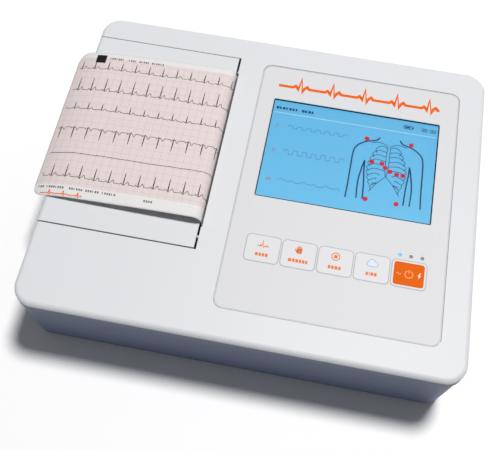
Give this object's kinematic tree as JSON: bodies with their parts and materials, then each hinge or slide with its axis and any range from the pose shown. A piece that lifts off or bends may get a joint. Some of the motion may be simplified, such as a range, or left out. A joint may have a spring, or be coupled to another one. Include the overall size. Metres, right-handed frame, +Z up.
{
  "type": "ecg machine",
  "caption": "Bench-top electrocardiograph with a sliding paper lid, built-in thermal printer, colour display and press keys.",
  "frame": {"origin": "middle of the object's outline, on the surface that its rubber feet stand on", "axes": "+X towards the control panel side, -Y towards the user, +Z up"},
  "size_m": [0.2731, 0.215, 0.0685],
  "materials": {
    "casing_white": "fine satin moulding texture",
    "casing_blue_grey": "fine satin moulding texture",
    "panel_film": "silk-finish polyester film",
    "display_glass": "clear, slightly anti-glare",
    "lcd_screen": "lit blue screen",
    "sheet_steel": "zinc-plated sheet",
    "circuit_board": "green solder mask",
    "ribbon_film": "flat flexible cable",
    "black_plastic": "moulded black plastic",
    "key_white": "silk-finish cap",
    "key_orange": "silk-finish orange cap",
    "led_blue": "lit lens",
    "led_clear": "unlit lens",
    "nylon": "natural nylon",
    "steel": "turned steel",
    "black_rubber": "ground rubber",
    "chart_paper": "thermal chart paper with a pink grid",
    "cardboard": "wound cardboard",
    "grey_plastic": "moulded grey plastic",
    "head_ceramic": "glazed ceramic",
    "aluminium": "extruded",
    "brass": "turned brass",
    "motor_can": "plated motor can",
    "connector_shell": "nickel-plated shell",
    "transformer_tape": "yellow tape over ferrite",
    "capacitor_sleeve": "shrink sleeve",
    "battery_wrap": "shrink-wrapped cells"
  },
  "bodies": {
    "root": {"top_casing": "casing_white", "bottom_casing": "casing_blue_grey", "battery_door": "casing_blue_grey", "control_panel": "panel_film", "display_window": "display_glass", "lcd_panel": "lcd_screen", "lcd_frame": "sheet_steel", "printer_frame": "sheet_steel", "guide_rails": "sheet_steel", "ecg_shield": "sheet_steel", "tear_bar": "sheet_steel", "lcd_board": "circuit_board", "keypad_board": "circuit_board", "main_board": "circuit_board", "ecg_board": "circuit_board", "power_board": "circuit_board", "lcd_ribbon": "ribbon_film", "key_switches": "black_plastic", "board_chips": "black_plastic", "mains_inlet": "black_plastic", "speaker": "black_plastic", "led_mains": "led_blue", "led_battery": "led_clear", "led_link": "led_clear", "head_pivot_pin": "steel", "head_springs": "steel", "gear_posts": "steel", "casing_screws": "steel", "board_screws": "steel", "inlet_pins": "steel", "rubber_feet": "black_rubber", "paper_tray": "grey_plastic", "roll_spindle": "grey_plastic", "board_standoffs": "brass", "feed_motor": "motor_can", "patient_connector": "connector_shell", "lan_port": "connector_shell", "usb_port": "connector_shell", "transformer": "transformer_tape", "capacitors": "capacitor_sleeve", "battery_pack": "battery_wrap"},
    "paper_lid": {"lid_cover": "casing_white", "lid_bushes": "nylon", "paper_strip": "chart_paper"},
    "platen": {"platen_shaft": "steel", "platen_roller": "black_rubber", "platen_gear": "nylon"},
    "paper_supply": {"paper_roll": "chart_paper", "roll_core": "cardboard"},
    "head_carrier": {"print_head": "head_ceramic", "head_heatsink": "aluminium"},
    "idler": {"idler_gear": "nylon"},
    "reduction": {"reduction_gear": "nylon"},
    "motor_rotor": {"motor_pinion": "brass", "motor_shaft": "steel"},
    "auto_key": {"key_auto": "key_white"},
    "manual_key": {"key_manual": "key_white"},
    "stop_key": {"key_stop": "key_white"},
    "link_key": {"key_link": "key_white"},
    "power_key": {"key_power": "key_orange"}
  },
  "joints": [
    {"name": "lid_slide", "type": "slide", "parent": "root", "child": "paper_lid", "axis": [-1, 0, 0], "range_m": [0, 0.072]},
    {"name": "platen_spin", "type": "hinge", "parent": "paper_lid", "child": "platen", "pos_m": [-0.0362, 0.0185, 0.0515], "axis": [0, 1, 0], "continuous": true},
    {"name": "roll_spin", "type": "hinge", "parent": "root", "child": "paper_supply", "pos_m": [-0.0835, 0.0185, 0.0245], "axis": [0, 1, 0], "continuous": true},
    {"name": "head_tilt", "type": "hinge", "parent": "root", "child": "head_carrier", "pos_m": [-0.0249, 0.0185, 0.041], "axis": [0, 1, 0], "range_deg": [0, 2.5], "stiffness_Nm_per_rad": 0.6, "deforming": ["head_springs"]},
    {"name": "idler_spin", "type": "hinge", "parent": "root", "child": "idler", "pos_m": [-0.0227, 0.07875, 0.0515], "axis": [0, 1, 0], "continuous": true},
    {"name": "reduction_spin", "type": "hinge", "parent": "root", "child": "reduction", "pos_m": [-0.00796, 0.07875, 0.04118], "axis": [0, 1, 0], "continuous": true},
    {"name": "motor_spin", "type": "hinge", "parent": "root", "child": "motor_rotor", "pos_m": [0.00504, 0.07875, 0.03368], "axis": [0, 1, 0], "continuous": true},
    {"name": "auto_press", "type": "slide", "parent": "root", "child": "auto_key", "axis": [0, 0, -1], "range_m": [0, 0.0005], "stiffness_N_per_m": 800},
    {"name": "manual_press", "type": "slide", "parent": "root", "child": "manual_key", "axis": [0, 0, -1], "range_m": [0, 0.0005], "stiffness_N_per_m": 800},
    {"name": "stop_press", "type": "slide", "parent": "root", "child": "stop_key", "axis": [0, 0, -1], "range_m": [0, 0.0005], "stiffness_N_per_m": 800},
    {"name": "link_press", "type": "slide", "parent": "root", "child": "link_key", "axis": [0, 0, -1], "range_m": [0, 0.0005], "stiffness_N_per_m": 800},
    {"name": "power_press", "type": "slide", "parent": "root", "child": "power_key", "axis": [0, 0, -1], "range_m": [0, 0.0005], "stiffness_N_per_m": 800}
  ],
  "couplings": [
    {"joint": "roll_spin", "follows": "platen_spin", "ratio": 0.41176},
    {"joint": "idler_spin", "follows": "platen_spin", "ratio": -1},
    {"joint": "reduction_spin", "follows": "platen_spin", "ratio": 0.6},
    {"joint": "motor_spin", "follows": "platen_spin", "ratio": -1.8}
  ]
}
